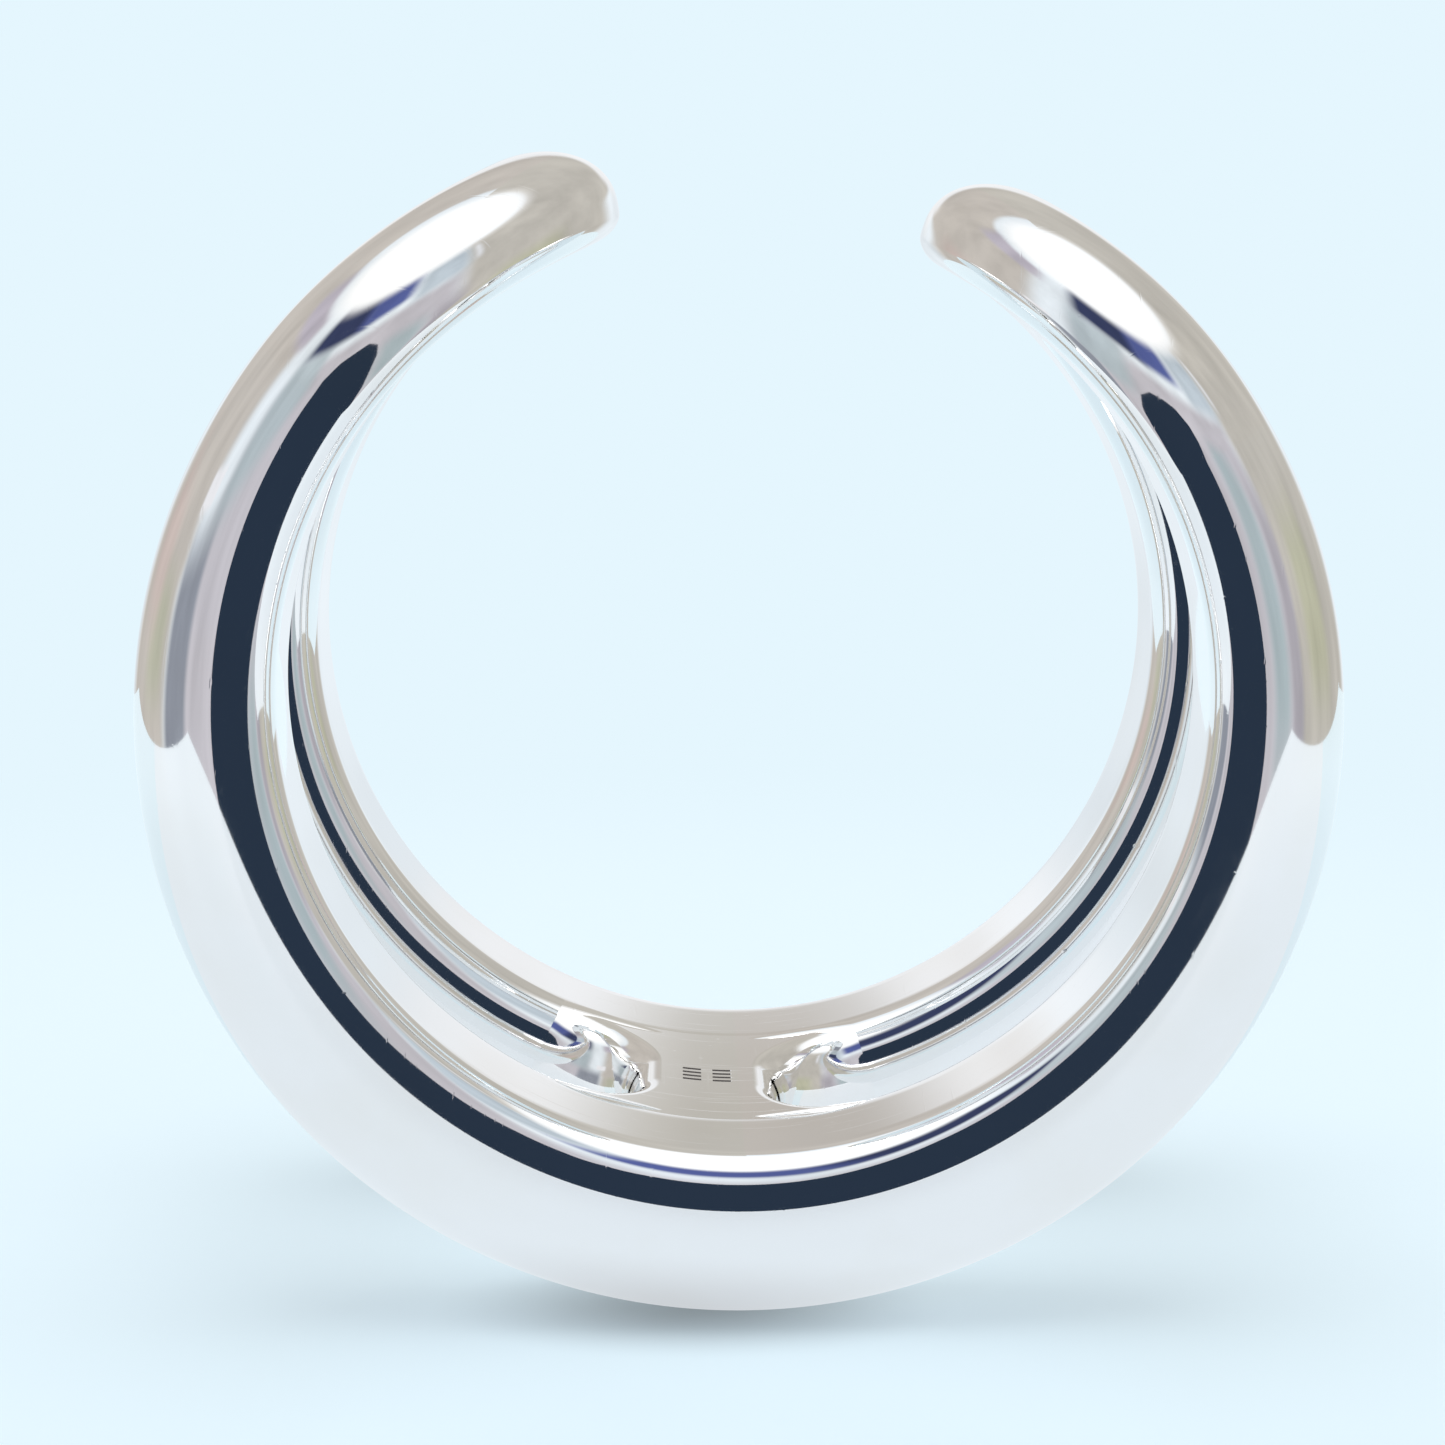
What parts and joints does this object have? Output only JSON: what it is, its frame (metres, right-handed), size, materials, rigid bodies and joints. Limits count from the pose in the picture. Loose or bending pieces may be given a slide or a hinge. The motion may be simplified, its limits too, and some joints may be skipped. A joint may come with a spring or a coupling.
{
  "type": "open stud link finger ring",
  "caption": "Polished silver open finger ring: a long stud link wrapped round the finger, with two rails, two rounded end bows facing across a gap, and a bar that ties the rails.",
  "frame": {"origin": "centre of the finger hole, half way across the band", "axes": "+Y along the finger, from the front rail to the rear rail; +Z from the bar up to the gap between the bows; +X to the right bow"},
  "size_m": [0.0224, 0.013, 0.0212],
  "materials": {
    "silver_rail": "mirror polished silver with hairline wear",
    "silver_bow": "mirror polished silver with hairline wear",
    "silver_bar": "polished silver, slightly dulled inside, with plain punch marks"
  },
  "bodies": {
    "root": {"front_rail": "silver_rail", "rear_rail": "silver_rail", "left_bow": "silver_bow", "right_bow": "silver_bow", "center_bar": "silver_bar"}
  },
  "joints": []
}
